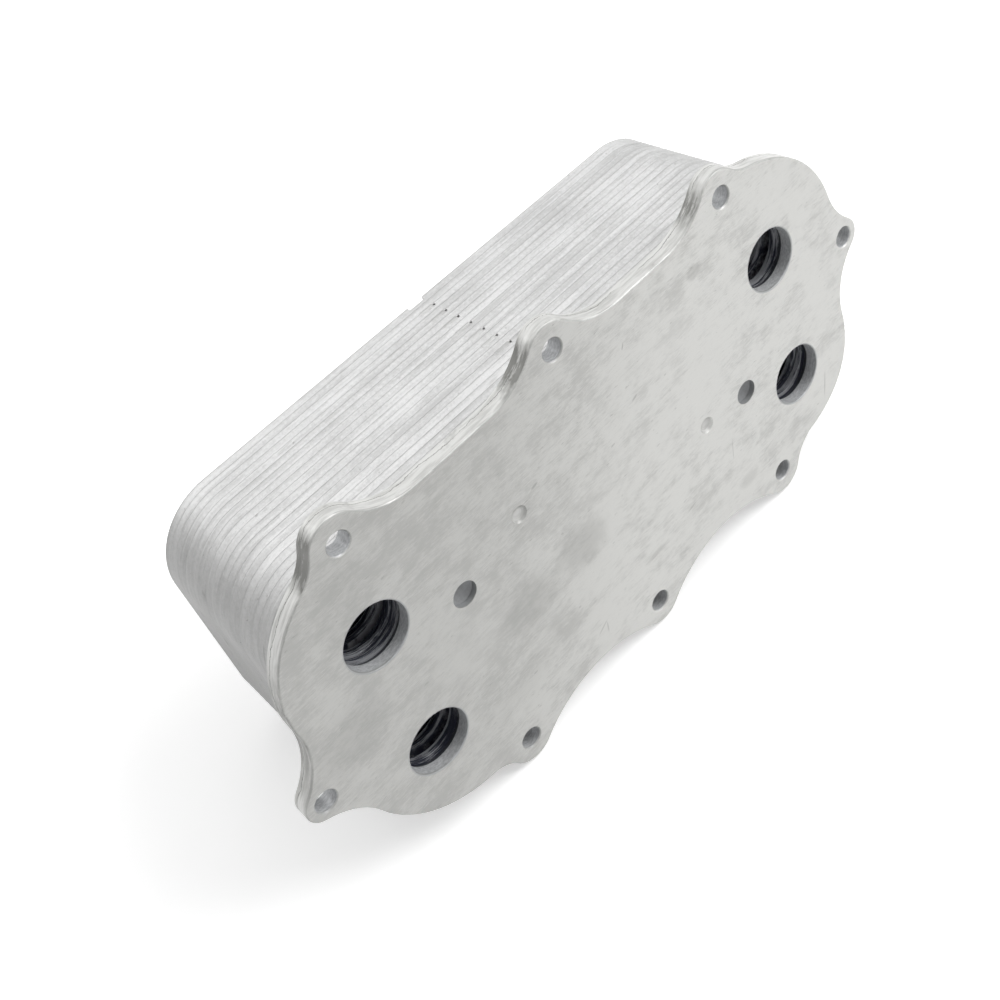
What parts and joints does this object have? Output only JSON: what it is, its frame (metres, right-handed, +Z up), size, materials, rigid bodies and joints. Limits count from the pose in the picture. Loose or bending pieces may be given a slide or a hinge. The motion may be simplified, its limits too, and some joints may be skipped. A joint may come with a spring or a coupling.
{
  "type": "hydraulic oil cooler",
  "caption": "Flat brazed plate oil cooler: a scalloped mounting flange with round ports and bolt holes on a stack of nested dished plates.",
  "frame": {"origin": "centre of the flange's mounting face, midway between the four ports", "axes": "+X along the length, +Z up across the flange, +Y from the mounting face into the stack"},
  "size_m": [0.298, 0.0835, 0.1602],
  "materials": {
    "mounting_face": "machined, fine grain along the length, light stains",
    "flange_sheet": "bare brazed sheet",
    "core_sheet": "bright bare brazed sheet, fine ridges",
    "fin_stock": "bare thin fin sheet"
  },
  "bodies": {
    "root": {"base_plate": "flange_sheet", "coolant_turbulator_02": "fin_stock", "coolant_turbulator_04": "fin_stock", "coolant_turbulator_06": "fin_stock", "coolant_turbulator_08": "fin_stock", "coolant_turbulator_10": "fin_stock", "coolant_turbulator_12": "fin_stock", "coolant_turbulator_14": "fin_stock", "coolant_turbulator_16": "fin_stock", "coolant_turbulator_18": "fin_stock", "core_plate_01": "core_sheet", "core_plate_02": "core_sheet", "core_plate_03": "core_sheet", "core_plate_04": "core_sheet", "core_plate_05": "core_sheet", "core_plate_06": "core_sheet", "core_plate_07": "core_sheet", "core_plate_08": "core_sheet", "core_plate_09": "core_sheet", "core_plate_10": "core_sheet", "core_plate_11": "core_sheet", "core_plate_12": "core_sheet", "core_plate_13": "core_sheet", "core_plate_14": "core_sheet", "core_plate_15": "core_sheet", "core_plate_16": "core_sheet", "core_plate_17": "core_sheet", "core_plate_18": "core_sheet", "core_plate_19": "core_sheet", "end_plate": "core_sheet", "front_flange_layer": "mounting_face", "oil_turbulator_01": "fin_stock", "oil_turbulator_03": "fin_stock", "oil_turbulator_05": "fin_stock", "oil_turbulator_07": "fin_stock", "oil_turbulator_09": "fin_stock", "oil_turbulator_11": "fin_stock", "oil_turbulator_13": "fin_stock", "oil_turbulator_15": "fin_stock", "oil_turbulator_17": "fin_stock", "oil_turbulator_19": "fin_stock", "rear_flange_layer": "flange_sheet"}
  },
  "joints": []
}
